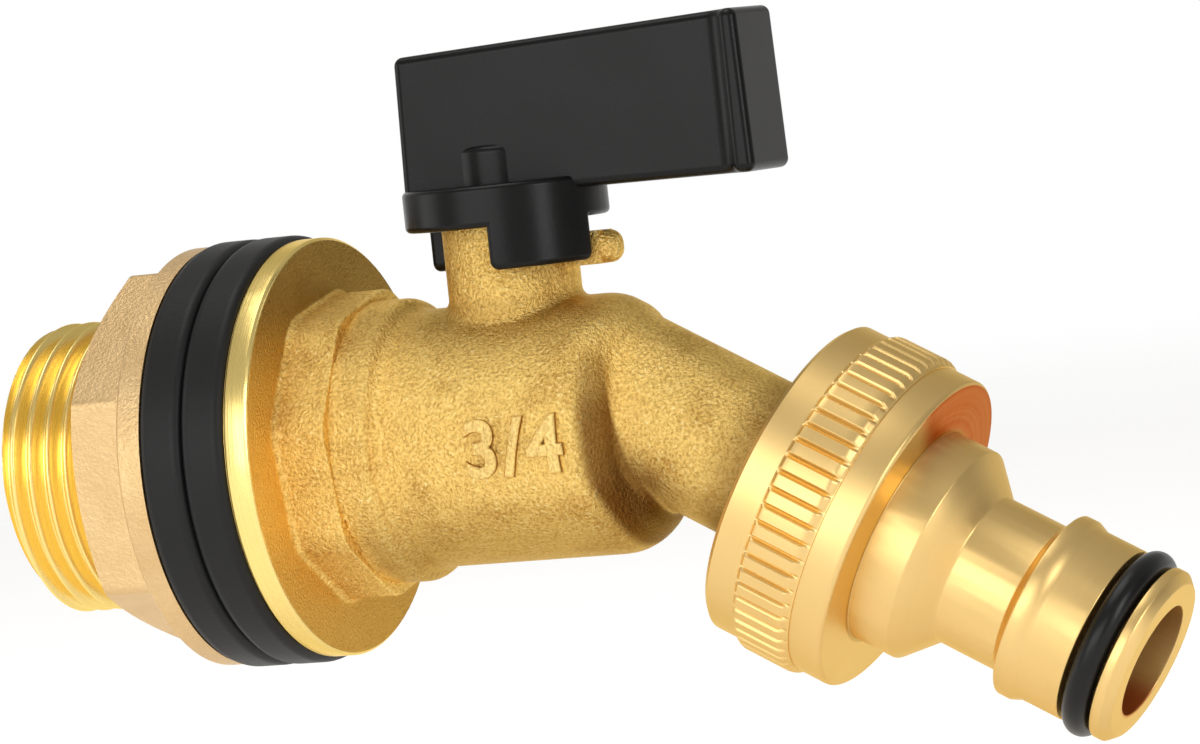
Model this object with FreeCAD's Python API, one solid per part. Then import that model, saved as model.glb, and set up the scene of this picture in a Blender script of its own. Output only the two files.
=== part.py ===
import FreeCAD, Part
import math
import os

# Water butt tap: a cast brass ball tap that clamps through a tank wall and ends in a hose connector.
# Millimetres. The origin is the centre of the flange's rear face, +X runs from the tank to the spout
# and +Z runs up the stem. The lever stands open, in line with the spout.

# Pipe thread of the inlet and the outlet, three quarter inch
thread_major_r = 13.22
thread_depth = 1.16

# Ball and its seats
ball_r = 8.0
ball_clearance = 1.0
water_way_r = 5.0
seat_cup = 3.4
seat_thickness = 3.0
seat_clearance = 0.05
retainer_length = 5.0
retainer_step = 0.3
retainer_bore_step = 0.5
retainer_slot_width = 2.5
retainer_slot_depth = 1.6

# Inlet shank
shank_length = 25.8
shank_chamfer = 0.7
inlet_step = 0.3

# Body flange, octagon and bead
flange_overhang = 5.63
flange_thickness = 2.4
flange_edge = 0.3
octagon_sides = 8
octagon_overhang = 2.35
octagon_length = 4.9
octagon_turn_deg = 10.5
octagon_fillet = 0.7
bead_height = 1.15
bead_length = 2.6
bead_fall_length = 2.1

# Tank washers
washer_thickness = 4.1
washer_overhang = 0.45
washer_edge_radius = 0.9
washer_hole_clearance = 0.3

# Lock nut
nut_sides = 6
nut_wall = 2.46
nut_hex_length = 5.5
nut_cone_length = 1.2
nut_cone_step = 0.9
nut_rim_width = 2.4
nut_rim_overhang = 0.15
nut_corner_bevel = 1.3
nut_corner_radius = 1.0
nut_turn_deg = 22.5

# Barrel round the ball
barrel_wall = 2.55
barrel_end_wall = 5.64
barrel_end_radius = 4.8
bend_extra = 0.65
bend_step = 0.35

# Spout
spout_angle_deg = 30.0
spout_setback = 2.74
spout_start_z = 2.27
spout_wall = 2.35
spout_fillet = 1.0
spout_mouth_wall = 4.04
spout_mouth_depth = 5.0
spout_thread_length = 7.2
spout_shoulder_edge = 0.8

# Stem
stem_setback = 8.96
stem_r = 3.5
stem_running_clearance = 0.05
stem_tang_width = 2.1
stem_tang_length = 7.0
stem_slot_clearance = 0.1
stem_slot_depth = 2.0
stem_shoulder_step = 1.0
stem_shoulder_gap = 0.4
stem_shoulder_height = 1.6
stem_pocket_clearance = 0.1
thrust_washer_thickness = 0.6
stem_flat_depth = 1.0
stem_rise = 5.7
stem_ring_groove_depth = 1.0
stem_ring_groove_width = 1.4
stem_ring_drop = 5.3
stem_ring_spacing = 2.3
ring_slack = 0.02

# Stem tower and stop lug
tower_wall = 2.45
tower_height = 7.35
tower_fillet = 1.0
lug_overhang = 1.7
lug_width = 3.0
lug_drop = 4.7
lug_height = 2.9
lug_edge = 1.2

# Lever handle, with the blade's heights measured from the hub's top
hub_overhang = 3.15
hub_height = 3.7
hub_cover = 0.4
hub_gap = 0.3
hub_edge = 0.5
tab_length = 3.8
tab_corner = 0.8
tab_clearance = 0.35
tab_stop_gap = 0.3
blade_rear_reach = 8.35
blade_front_reach = 25.75
blade_draft = 0.35
blade_low_rear = -1.0
blade_low_front = -1.25
blade_top_rear = 11.85
blade_top_front = 13.05
blade_thickness = 7.2
blade_edge = 0.8
lip_width = 9.0
lip_length = 1.6
lip_cove = 1.7
boss_wall = 0.7
boss_height = 3.4
boss_edge = 0.7

# Handle screw
screw_thread_r = 1.35
screw_hole_clearance = 0.35
screw_head_step = 1.15
screw_head_height = 1.8
screw_head_dome = 0.6
screw_recess_width = 0.8
screw_recess_depth = 1.1
screw_pocket_clearance = 0.15
screw_web = 1.7
screw_engagement = 6.5

# Hose connector, measured along the spout from its start point
collar_start = 16.35
collar_rear_band = 2.25
collar_rear_step = 0.55
knurl_length = 5.6
knurl_wall = 2.51
knurl_depth = 0.7
knurl_teeth = 60
knurl_crest_share = 0.44
knurl_root_share = 0.28
knurl_bevel = 0.5
collar_front_band = 3.85
collar_front_step = 0.2
collar_edge = 0.8
collar_wall = 1.95
nose_bore_step = 0.2
nose_wall = 1.7
nose_base_step = 3.0
nose_base_length = 3.9
nose_cone_length = 2.9
nose_neck_length = 5.9
nose_body_step = 1.15
nose_ridge_height = 0.45
nose_ridge_rise = 0.9
nose_ridge_top = 1.1
nose_ridge_fall = 1.0
nose_body_length = 3.9
nose_groove_depth = 1.9
nose_groove_width = 3.1
nose_tip_length = 1.7
nose_tip_bevel = 0.8
nose_ring_proud = 0.65
connector_washer_thickness = 2.0
connector_washer_clearance = 0.2

# Largest difference between two sizes that count as equal
match = 0.001

# Values that follow from the sizes above
V = FreeCAD.Vector
X_AXIS = V(1, 0, 0)
Y_AXIS = V(0, 1, 0)
Z_AXIS = V(0, 0, 1)
ORIGIN = V(0, 0, 0)
thread_pitch_r = thread_major_r - thread_depth / 2
chamber_r = ball_r + ball_clearance
retainer_thread_r = chamber_r + retainer_step
inlet_bore_r = retainer_thread_r + inlet_step
barrel_r = chamber_r + barrel_wall
flange_r = thread_major_r + flange_overhang
washer_r = flange_r + washer_overhang
octagon_corner_r = barrel_r + octagon_overhang
octagon_end_x = flange_thickness + octagon_length
bead_top_end_x = octagon_end_x + bead_length
bead_end_x = bead_top_end_x + bead_fall_length
nut_half_flats = thread_pitch_r + nut_wall
nut_corner_r = nut_half_flats / math.cos(math.pi / nut_sides)
nut_rim_r = flange_r + nut_rim_overhang
nut_front_x = -2 * washer_thickness
nut_rim_x = nut_front_x - nut_rim_width
nut_hex_front_x = nut_rim_x - nut_cone_length
nut_rear_x = nut_hex_front_x - nut_hex_length
stem_x = bead_end_x + stem_setback
seat_face_offset = ball_r - seat_cup
seat_far_offset = seat_face_offset + seat_thickness
chamber_end_x = stem_x + seat_far_offset
chamber_start_x = stem_x - seat_far_offset
retainer_rear_x = chamber_start_x - retainer_length
barrel_end_x = chamber_end_x + barrel_end_wall
spout_tilt = math.radians(spout_angle_deg)
spout_direction = V(math.cos(spout_tilt), 0, -math.sin(spout_tilt))
spout_up = V(math.sin(spout_tilt), 0, math.cos(spout_tilt))
spout_start = V(chamber_end_x + spout_setback, 0, spout_start_z)
spout_r = water_way_r + spout_wall
spout_mouth_r = thread_pitch_r - spout_mouth_wall
collar_front = collar_start + collar_rear_band + knurl_length + collar_front_band
collar_seat = collar_front - collar_wall
spout_end = collar_seat - connector_washer_thickness
knurl_r = thread_pitch_r + knurl_wall
knurl_root_r = knurl_r - knurl_depth
collar_rear_r = knurl_r - collar_rear_step
collar_front_r = knurl_r - collar_front_step
nose_bore_r = water_way_r + nose_bore_step
nose_neck_r = nose_bore_r + nose_wall
nose_base_r = nose_neck_r + nose_base_step
nose_body_r = nose_neck_r + nose_body_step
nose_ridge_r = nose_body_r + nose_ridge_height
nose_groove_r = nose_body_r - nose_groove_depth
tower_r = stem_r + tower_wall
tower_top_z = barrel_r + tower_height
lug_low_z = tower_top_z - lug_drop
stem_bore_r = stem_r + stem_running_clearance
stem_shoulder_r = stem_r + stem_shoulder_step
stem_pocket_r = stem_shoulder_r + stem_pocket_clearance
stem_slot_floor_z = ball_r - stem_slot_depth
stem_shoulder_z = chamber_r + stem_shoulder_gap
shoulder_top_z = stem_shoulder_z + stem_shoulder_height
stem_pocket_top_z = shoulder_top_z + thrust_washer_thickness
stem_ring_low_z = tower_top_z - stem_ring_drop
stem_top_z = tower_top_z + stem_rise
hub_r = tower_r + hub_overhang
hub_low_z = tower_top_z - hub_cover
hub_seat_z = tower_top_z + hub_gap
hub_top_z = hub_low_z + hub_height
lug_reach = hub_r + lug_overhang
boss_r = stem_r + boss_wall
boss_top_z = hub_top_z + boss_height
blade_rear_x = stem_x - blade_rear_reach
blade_front_x = stem_x + blade_front_reach
lever_web_top_z = stem_top_z + screw_web
screw_head_r = screw_thread_r + screw_head_step
far = 4 * shank_length


def turned(points, start, direction):
    """Solid of revolution: (distance along the axis, radius) points, closed along the axis.

    A point of three entries is the middle of an arc between its neighbours. A step of no height adds no edge.
    """
    side = Y_AXIS
    edges = []
    at = [start + direction * p[0] + side * p[1] for p in points]
    index = 0
    while index < len(points) - 1:
        if len(points[index + 1]) == 3:
            edges.append(Part.Arc(at[index], at[index + 1], at[index + 2]).toShape())
            index += 2
        else:
            if not at[index].isEqual(at[index + 1], match):
                edges.append(Part.LineSegment(at[index], at[index + 1]).toShape())
            index += 1
    edges.append(Part.LineSegment(at[-1], at[0]).toShape())
    face = Part.Face(Part.Wire(edges))
    return face.revolve(start, direction, 360)


def rod(radius, start, direction, low, high):
    """Cylinder along a direction, between two distances from a start point."""
    return Part.makeCylinder(radius, high - low, start + direction * low, direction)


def tube(outer_r, inner_r, start, direction, low, high):
    """Cylinder with a coaxial hole."""
    outer = rod(outer_r, start, direction, low, high)
    return outer.cut(rod(inner_r, start, direction, low, high))


def prism(points, direction):
    """Polygon of points pulled along a direction."""
    face = Part.Face(Part.makePolygon(points + points[:1]))
    return face.extrude(direction)


def block(low, high):
    """Box between two corners."""
    size = high - low
    return Part.makeBox(size.x, size.y, size.z, low)


def ring_points(count, radius, x, turn_deg):
    """Corners of a regular polygon round the X axis, counted from -Y towards +Z."""
    corners = []
    for index in range(count):
        angle = math.radians(turn_deg + index * 360 / count)
        corners.append(V(x, -radius * math.cos(angle), radius * math.sin(angle)))
    return corners


def arc_mid(centre, radius, angle_deg):
    """Point of a profile arc, marked as the middle of that arc."""
    angle = math.radians(angle_deg)
    return (centre[0] + radius * math.cos(angle), centre[1] + radius * math.sin(angle), "arc")


def circle_edges(shape, radius, along):
    """Circular edges of one radius whose plane is square to a direction."""
    found = []
    for edge in shape.Edges:
        curve = edge.Curve
        if isinstance(curve, Part.Circle) and abs(curve.Radius - radius) < match:
            if abs(curve.Axis.dot(along)) > 1 - match:
                found.append(edge)
    return found


def stem_at(z):
    """Point on the stem axis."""
    return V(stem_x, 0, z)


def barrel_form():
    """Shank, flange, bead and barrel turned about X, with the barrel bent down into the spout."""
    bead_r = barrel_r + bead_height
    fall_r = (bead_fall_length**2 + bead_height**2) / (4 * bead_height)
    fall_deg = math.degrees(math.asin(bead_fall_length / (2 * fall_r)))
    end_centre = (barrel_end_x - barrel_end_radius, barrel_r - barrel_end_radius)
    profile = [
        (-shank_length, 0),
        (-shank_length, thread_major_r - shank_chamfer),
        (-shank_length + shank_chamfer, thread_major_r),
        (nut_rear_x, thread_major_r),
        (nut_rear_x, thread_pitch_r),
        (nut_front_x, thread_pitch_r),
        (nut_front_x, thread_major_r),
        (0, thread_major_r),
        (0, flange_r - flange_edge),
        (flange_edge, flange_r),
        (flange_thickness - flange_edge, flange_r),
        (flange_thickness, flange_r - flange_edge),
        (flange_thickness, barrel_r),
        (octagon_end_x, barrel_r),
        (octagon_end_x, bead_r),
        (bead_top_end_x, bead_r),
        arc_mid((bead_top_end_x, bead_r - fall_r), fall_r, 90 - fall_deg / 2),
        ((bead_top_end_x + bead_end_x) / 2, (barrel_r + bead_r) / 2),
        arc_mid((bead_end_x, barrel_r + fall_r), fall_r, -90 - fall_deg / 2),
        (bead_end_x, barrel_r),
        (barrel_end_x - barrel_end_radius, barrel_r),
        arc_mid(end_centre, barrel_end_radius, 45),
        (barrel_end_x, barrel_r - barrel_end_radius),
        (barrel_end_x, 0),
    ]
    straight = turned(profile, ORIGIN, X_AXIS)
    # The bent half is a little wider than the barrel, and its top line lies just above the spout's.
    bend_r = barrel_r + bend_extra
    bend_axis = spout_start - spout_up * (bend_r - spout_r - bend_step)
    meet = bend_axis + spout_direction * (bend_axis.z / math.sin(spout_tilt))
    half_tilt = spout_tilt / 2
    mitre = V(math.cos(half_tilt), 0, -math.sin(half_tilt))
    cutter = Part.makeCylinder(far, far, meet, mitre)
    bent = rod(bend_r, meet, spout_direction, -far / 2, far / 2)
    front = straight.common(cutter).common(bent)
    return straight.cut(cutter).fuse(front).removeSplitter()


def octagon():
    """Spanner flats in front of the flange."""
    corners = ring_points(octagon_sides, octagon_corner_r, flange_thickness, octagon_turn_deg)
    flats = prism(corners, X_AXIS * octagon_length)
    across = octagon_corner_r * math.cos(math.pi / octagon_sides)
    foot = turned(
        [
            (0, 0),
            (0, across + octagon_fillet),
            (octagon_fillet, across),
            (octagon_fillet, 0),
        ],
        V(flange_thickness, 0, 0),
        X_AXIS,
    )
    return flats.fuse(foot)


def spout_form():
    """Spout pipe with its shoulder and the outlet thread at its pitch radius."""
    thread_low = spout_end - spout_thread_length
    pipe = rod(spout_r, spout_start, spout_direction, -spout_r / 2, thread_low)
    thread = turned(
        [
            (thread_low, 0),
            (thread_low, thread_pitch_r - spout_shoulder_edge),
            (thread_low + spout_shoulder_edge, thread_pitch_r),
            (spout_end, thread_pitch_r),
            (spout_end, 0),
        ],
        spout_start,
        spout_direction,
    )
    return pipe, thread


def stop_lug():
    """Lug with a domed round end, on the spout side of the tower."""
    half = lug_width / 2
    low = V(stem_x, -half, lug_low_z)
    bar = block(low, V(stem_x + lug_reach - half, half, lug_low_z + lug_height))
    end_centre = V(stem_x + lug_reach - half, 0, lug_low_z)
    end = Part.makeCylinder(half, lug_height, end_centre, Z_AXIS)
    end = end.makeFillet(lug_edge, circle_edges(end, half, Z_AXIS))
    return bar.fuse(end)


def meeting_edges(shape, low, high):
    """Edges inside a box that are neither straight nor circular: where two round forms meet."""
    box = FreeCAD.BoundBox(low, high)
    found = []
    for edge in shape.Edges:
        plain = isinstance(edge.Curve, (Part.Line, Part.Circle))
        if not plain and box.isInside(edge.BoundBox):
            found.append(edge)
    return found


def pipe_edges(body):
    """Edges of the body where the spout pipe leaves the barrel."""
    found = []
    for edge in body.Edges:
        middle = edge.valueAt((edge.FirstParameter + edge.LastParameter) / 2)
        from_start = middle - spout_start
        along = from_start.dot(spout_direction)
        away = (from_start - spout_direction * along).Length
        on_wall = abs(away - spout_r) < ring_slack
        if on_wall and along < collar_start / 2 and not isinstance(edge.Curve, Part.Line):
            found.append(edge)
    return found


def tap_body():
    """One brass casting, bored from the inlet for the ball and along the spout for the water."""
    body = barrel_form()
    tower = rod(tower_r, stem_at(0), Z_AXIS, 0, tower_top_z)
    body = body.fuse(tower).removeSplitter()
    tower_box = (V(stem_x - far, -far, barrel_r / 2), V(stem_x + 2 * tower_r, far, tower_top_z - tower_fillet))
    body = body.makeFillet(tower_fillet, meeting_edges(body, *tower_box))
    pipe, thread = spout_form()
    body = body.fuse(pipe).removeSplitter()
    body = body.makeFillet(spout_fillet, pipe_edges(body))
    body = body.fuse(thread).fuse(octagon()).fuse(stop_lug()).removeSplitter()

    cuts = [
        rod(inlet_bore_r, ORIGIN, X_AXIS, -shank_length, retainer_rear_x),
        rod(retainer_thread_r, ORIGIN, X_AXIS, retainer_rear_x, chamber_start_x),
        rod(chamber_r, ORIGIN, X_AXIS, chamber_start_x, chamber_end_x),
        rod(water_way_r, ORIGIN, X_AXIS, chamber_end_x, spout_start.x),
        rod(water_way_r, spout_start, spout_direction, -water_way_r / 2, spout_end),
        rod(spout_mouth_r, spout_start, spout_direction, spout_end - spout_mouth_depth, spout_end),
        rod(stem_bore_r, stem_at(0), Z_AXIS, 0, tower_top_z),
        rod(stem_pocket_r, stem_at(0), Z_AXIS, 0, stem_pocket_top_z),
    ]
    for cut in cuts:
        body = body.cut(cut)
    return body


def lock_nut():
    """Hexagon nut with a wide round flange, its thread at the pitch radius."""
    corners = ring_points(nut_sides, nut_corner_r, nut_rear_x, nut_turn_deg)
    flats = prism(corners, X_AXIS * (nut_rim_x - nut_rear_x))
    flats = flats.makeFillet(nut_corner_radius, [e for e in flats.Edges if e.BoundBox.XLength > nut_hex_length])
    bevel = turned(
        [
            (nut_rear_x, 0),
            (nut_rear_x, nut_half_flats - nut_corner_bevel / 2),
            (nut_rear_x + nut_corner_bevel, nut_corner_r),
            (nut_rim_x, nut_corner_r),
            (nut_rim_x, 0),
        ],
        ORIGIN,
        X_AXIS,
    )
    rim = turned(
        [
            (nut_hex_front_x, 0),
            (nut_hex_front_x, nut_half_flats + nut_cone_step),
            (nut_rim_x, nut_rim_r - flange_edge),
            (nut_rim_x + flange_edge, nut_rim_r),
            (nut_front_x, nut_rim_r),
            (nut_front_x, 0),
        ],
        ORIGIN,
        X_AXIS,
    )
    nut = flats.common(bevel).fuse(rim)
    return nut.cut(rod(thread_pitch_r, ORIGIN, X_AXIS, -far, far)).removeSplitter()


def tank_washer(low_x):
    """Thick rubber washer with rounded outer edges."""
    hole_r = thread_major_r + washer_hole_clearance
    washer = tube(washer_r, hole_r, ORIGIN, X_AXIS, low_x, low_x + washer_thickness)
    return washer.makeFillet(washer_edge_radius, circle_edges(washer, washer_r, X_AXIS))


def seat_ring(side):
    """Plastic ring with a spherical face that the ball turns on; side is +1 downstream, -1 upstream."""
    centre = stem_at(0)
    ring = tube(chamber_r, water_way_r, centre, X_AXIS * side, seat_face_offset, seat_far_offset)
    return ring.cut(Part.makeSphere(ball_r + seat_clearance, centre))


def seat_retainer():
    """Brass ring screwed in from the inlet, with a slot across its rear for a driver."""
    bore_r = water_way_r + retainer_bore_step
    ring = tube(retainer_thread_r, bore_r, ORIGIN, X_AXIS, retainer_rear_x, chamber_start_x)
    slot_low = V(retainer_rear_x, -far, -retainer_slot_width / 2)
    slot_high = V(retainer_rear_x + retainer_slot_depth, far, retainer_slot_width / 2)
    return ring.cut(block(slot_low, slot_high))


def valve_ball():
    """Ball bored along the flow, with a slot across its top for the stem's tang."""
    ball = Part.makeSphere(ball_r, stem_at(0))
    half = stem_tang_width / 2 + stem_slot_clearance
    slot = block(V(stem_x - half, -far, stem_slot_floor_z), V(stem_x + half, far, far))
    return ball.cut(rod(water_way_r, ORIGIN, X_AXIS, 0, far)).cut(slot)


def stem_flats(clearance, low_z, high_z):
    """Part of the stem, or of its socket, with two flats."""
    round_part = rod(stem_r + clearance, stem_at(0), Z_AXIS, low_z, high_z)
    half = stem_r - stem_flat_depth + clearance
    return round_part.common(block(V(stem_x - far, -half, low_z), V(stem_x + far, half, high_z)))


def stem_ring_heights():
    """Heights of the two sealing rings on the stem."""
    return [stem_ring_low_z, stem_ring_low_z + stem_ring_spacing]


def valve_stem():
    """Stem with a tang for the ball, a shoulder, two ring grooves and flats for the lever."""
    half_w = stem_tang_width / 2
    half_l = stem_tang_length / 2
    tang_low = V(stem_x - half_w, -half_l, stem_slot_floor_z + stem_slot_clearance)
    tang = block(tang_low, V(stem_x + half_w, half_l, stem_shoulder_z))
    shoulder = rod(stem_shoulder_r, stem_at(0), Z_AXIS, stem_shoulder_z, shoulder_top_z)
    shaft = rod(stem_r, stem_at(0), Z_AXIS, shoulder_top_z, hub_seat_z)
    stem = tang.fuse(shoulder).fuse(shaft).fuse(stem_flats(0, hub_seat_z, stem_top_z))
    groove_r = stem_r - stem_ring_groove_depth
    for z in stem_ring_heights():
        low = z - stem_ring_groove_width / 2
        stem = stem.cut(tube(2 * stem_r, groove_r, stem_at(0), Z_AXIS, low, low + stem_ring_groove_width))
    hole_low = stem_top_z - screw_engagement
    return stem.cut(rod(screw_thread_r, stem_at(0), Z_AXIS, hole_low, stem_top_z)).removeSplitter()


def stem_ring(z):
    """Rubber ring that fills a groove of the stem and runs in the tower's bore."""
    inner_r = stem_r - stem_ring_groove_depth + ring_slack
    outer_r = stem_bore_r - ring_slack
    return Part.makeTorus((inner_r + outer_r) / 2, (outer_r - inner_r) / 2, stem_at(z), Z_AXIS)


def thrust_washer():
    """Thin plastic washer between the stem's shoulder and the body."""
    return tube(stem_shoulder_r, stem_bore_r, stem_at(0), Z_AXIS, shoulder_top_z, stem_pocket_top_z)


def lever_hub():
    """Round hub with two quarter skirts that meet the stop lug at the ends of the turn, its outer edges rounded."""
    gap = lug_width / 2 + tab_stop_gap
    tab_low_z = hub_low_z - tab_length
    ring = tube(hub_r, tower_r + tab_clearance, stem_at(0), Z_AXIS, tab_low_z, hub_low_z)
    near = ring.common(block(V(stem_x + gap, -far, 0), V(stem_x + far, -gap, far)))
    back = ring.common(block(V(stem_x - far, gap, 0), V(stem_x - gap, far, far)))
    hub = rod(hub_r, stem_at(0), Z_AXIS, hub_low_z, hub_top_z)
    for tab in (near, back):
        low_ends = [e for e in tab.Edges if isinstance(e.Curve, Part.Line) and e.BoundBox.ZMax < tab_low_z + match]
        hub = hub.fuse(tab.makeFillet(tab_corner, low_ends))
    hub = hub.removeSplitter()
    return hub.makeFillet(hub_edge, circle_edges(hub, hub_r, Z_AXIS))


def blade_plan():
    """Outline of the blade from above: flat sides that flare through a cove into a lip."""
    half = blade_thickness / 2
    half_lip = lip_width / 2
    lip_x = blade_front_x - lip_length
    cove_x = lip_x - lip_cove
    flare = half_lip - half
    cove_r = (lip_cove**2 + flare**2) / (2 * flare)
    bend = math.asin(lip_cove / cove_r) / 2
    cove_bend = V(cove_x + cove_r * math.sin(bend), half + cove_r * (1 - math.cos(bend)), 0)
    side = [
        Part.LineSegment(V(blade_rear_x, half, 0), V(cove_x, half, 0)).toShape(),
        Part.Arc(V(cove_x, half, 0), cove_bend, V(lip_x, half_lip, 0)).toShape(),
        Part.LineSegment(V(lip_x, half_lip, 0), V(blade_front_x, half_lip, 0)).toShape(),
    ]
    mirrored = [edge.mirror(ORIGIN, Y_AXIS) for edge in reversed(side)]
    front = Part.LineSegment(V(blade_front_x, half_lip, 0), V(blade_front_x, -half_lip, 0)).toShape()
    rear = Part.LineSegment(V(blade_rear_x, -half, 0), V(blade_rear_x, half, 0)).toShape()
    return Part.Face(Part.Wire(Part.__sortEdges__(side + [front] + mirrored + [rear])))


def lever_blade():
    """Upright blade: the plan outline pulled up and trimmed to the sloping side view."""
    plan = blade_plan()
    tall = plan.extrude(Z_AXIS * far)
    side_view = prism(
        [
            V(blade_rear_x, -far, hub_top_z + blade_low_rear),
            V(blade_front_x, -far, hub_top_z + blade_low_front),
            V(blade_front_x - blade_draft, -far, hub_top_z + blade_top_front),
            V(blade_rear_x + blade_draft, -far, hub_top_z + blade_top_rear),
        ],
        Y_AXIS * (2 * far),
    )
    blade = tall.common(side_view)
    # The side runs into the cove without an edge, so there is nothing to round there.
    cove_x = blade_front_x - lip_length - lip_cove
    rounded = []
    for edge in blade.Edges:
        box = edge.BoundBox
        if box.XLength > match or abs(box.Center.x - cove_x) > match:
            rounded.append(edge)
    return blade.makeFillet(blade_edge, rounded)


def lever_handle():
    """Moulded lever: hub that caps the tower, two stop skirts, upright blade and a boss round the stem's end."""
    boss = rod(boss_r, stem_at(0), Z_AXIS, hub_low_z, boss_top_z)
    boss_top = [e for e in circle_edges(boss, boss_r, Z_AXIS) if e.BoundBox.ZMin > hub_top_z]
    boss = boss.makeFillet(boss_edge, boss_top)
    lever = lever_blade().fuse(boss).fuse(lever_hub()).removeSplitter()

    socket = stem_flats(stem_running_clearance, hub_seat_z, stem_top_z)
    pocket_r = screw_head_r + screw_pocket_clearance
    cuts = [
        socket,
        rod(tower_r + tab_clearance, stem_at(0), Z_AXIS, hub_low_z, hub_seat_z),
        rod(screw_thread_r + screw_hole_clearance, stem_at(0), Z_AXIS, stem_top_z, lever_web_top_z),
        rod(pocket_r, stem_at(0), Z_AXIS, lever_web_top_z, far),
    ]
    for cut in cuts:
        lever = lever.cut(cut)
    return lever


def handle_screw():
    """Pan head screw that holds the lever down on the stem, with a cross recess."""
    head_z = lever_web_top_z
    top_z = head_z + screw_head_height
    head = rod(screw_head_r, stem_at(0), Z_AXIS, head_z, top_z)
    head_rim = [e for e in circle_edges(head, screw_head_r, Z_AXIS) if e.BoundBox.ZMin > head_z + match]
    head = head.makeFillet(screw_head_dome, head_rim)
    shank = rod(screw_thread_r, stem_at(0), Z_AXIS, stem_top_z - screw_engagement, head_z)
    screw = head.fuse(shank)
    long_half = screw_head_r * math.cos(math.pi / 4)
    short_half = screw_recess_width / 2
    for half_x, half_y in ((long_half, short_half), (short_half, long_half)):
        low = V(stem_x - half_x, -half_y, top_z - screw_recess_depth)
        screw = screw.cut(block(low, V(stem_x + half_x, half_y, top_z)))
    return screw.removeSplitter()


def knurl():
    """Band of straight teeth round the collar, bevelled at both ends."""
    low = collar_start + collar_rear_band
    pitch = 2 * math.pi / knurl_teeth
    half_crest = knurl_crest_share / 2
    half_foot = (1 - knurl_root_share) / 2
    shares = (
        (-half_foot, knurl_root_r),
        (-half_crest, knurl_r),
        (half_crest, knurl_r),
        (half_foot, knurl_root_r),
    )
    corners = []
    for tooth in range(knurl_teeth):
        for share, radius in shares:
            angle = (tooth + share) * pitch
            around = Y_AXIS * math.cos(angle) + spout_up * math.sin(angle)
            corners.append(spout_start + spout_direction * low + around * radius)
    band = prism(corners, spout_direction * knurl_length)
    envelope = turned(
        [
            (low, 0),
            (low, knurl_root_r),
            (low + knurl_bevel, knurl_r),
            (low + knurl_length - knurl_bevel, knurl_r),
            (low + knurl_length, knurl_root_r),
            (low + knurl_length, 0),
        ],
        spout_start,
        spout_direction,
    )
    return band.common(envelope)


def nose_stations():
    """Distances along the spout of the nose's steps, from the collar's front face to the tip."""
    lengths = [
        nose_base_length,
        nose_cone_length,
        nose_neck_length,
        nose_ridge_rise,
        nose_ridge_top,
        nose_ridge_fall,
        nose_body_length,
        nose_groove_width,
        nose_tip_length,
    ]
    stations = [collar_front]
    for length in lengths:
        stations.append(stations[-1] + length)
    return stations


def hose_connector():
    """Turned brass connector: knurled collar on the outlet thread and a stepped nose for a hose clip."""
    at = nose_stations()
    knurl_low = collar_start + collar_rear_band
    knurl_high = knurl_low + knurl_length
    profile = [
        (collar_start, 0),
        (collar_start, collar_rear_r - collar_edge / 2),
        (collar_start + collar_edge / 2, collar_rear_r),
        (knurl_low, collar_rear_r),
        (knurl_low, knurl_root_r),
        (knurl_high, knurl_root_r),
        (knurl_high, collar_front_r),
        (collar_front - collar_edge, collar_front_r),
        arc_mid((collar_front - collar_edge, collar_front_r - collar_edge), collar_edge, 45),
        (collar_front, collar_front_r - collar_edge),
        (collar_front, nose_base_r),
        (at[1], nose_base_r),
        (at[2], nose_neck_r),
        (at[3], nose_neck_r),
        (at[4], nose_ridge_r),
        (at[5], nose_ridge_r),
        (at[6], nose_body_r),
        (at[7], nose_body_r),
        (at[7], nose_groove_r),
        (at[8], nose_groove_r),
        (at[8], nose_body_r),
        (at[9] - nose_tip_bevel, nose_body_r),
        (at[9], nose_body_r - nose_tip_bevel),
        (at[9], 0),
    ]
    connector = turned(profile, spout_start, spout_direction).fuse(knurl())
    thread_hole = rod(thread_pitch_r, spout_start, spout_direction, collar_start, collar_seat)
    water_way = rod(nose_bore_r, spout_start, spout_direction, collar_seat, at[9])
    return connector.cut(thread_hole).cut(water_way).removeSplitter()


def connector_washer():
    """Flat rubber washer between the spout's end and the connector."""
    outer_r = thread_pitch_r - connector_washer_clearance
    return tube(outer_r, spout_mouth_r, spout_start, spout_direction, spout_end, collar_seat)


def nose_ring():
    """Rubber ring in the nose's groove."""
    at = nose_stations()
    outer_r = nose_body_r + nose_ring_proud
    inner_r = nose_groove_r + ring_slack
    middle = spout_start + spout_direction * ((at[7] + at[8]) / 2)
    return Part.makeTorus((inner_r + outer_r) / 2, (outer_r - inner_r) / 2, middle, spout_direction)


def main():
    """Builds each piece and writes it under its node's name."""
    low_ring_z, high_ring_z = stem_ring_heights()
    pieces = {
        "tap_body": tap_body(),
        "lock_nut": lock_nut(),
        "outer_tank_washer": tank_washer(-washer_thickness),
        "inner_tank_washer": tank_washer(-2 * washer_thickness),
        "front_seat_ring": seat_ring(1),
        "rear_seat_ring": seat_ring(-1),
        "seat_retainer": seat_retainer(),
        "valve_ball": valve_ball(),
        "valve_stem": valve_stem(),
        "stem_thrust_washer": thrust_washer(),
        "lower_stem_o_ring": stem_ring(low_ring_z),
        "upper_stem_o_ring": stem_ring(high_ring_z),
        "lever_handle": lever_handle(),
        "handle_screw": handle_screw(),
        "hose_connector": hose_connector(),
        "connector_washer": connector_washer(),
        "nose_o_ring": nose_ring(),
    }
    os.makedirs("parts", exist_ok=True)
    for name, shape in pieces.items():
        shape.exportStep("parts/" + name + ".step")
        print(name, len(shape.Solids), "solid", shape.isValid(), round(shape.Volume, 2))


main()
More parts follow.
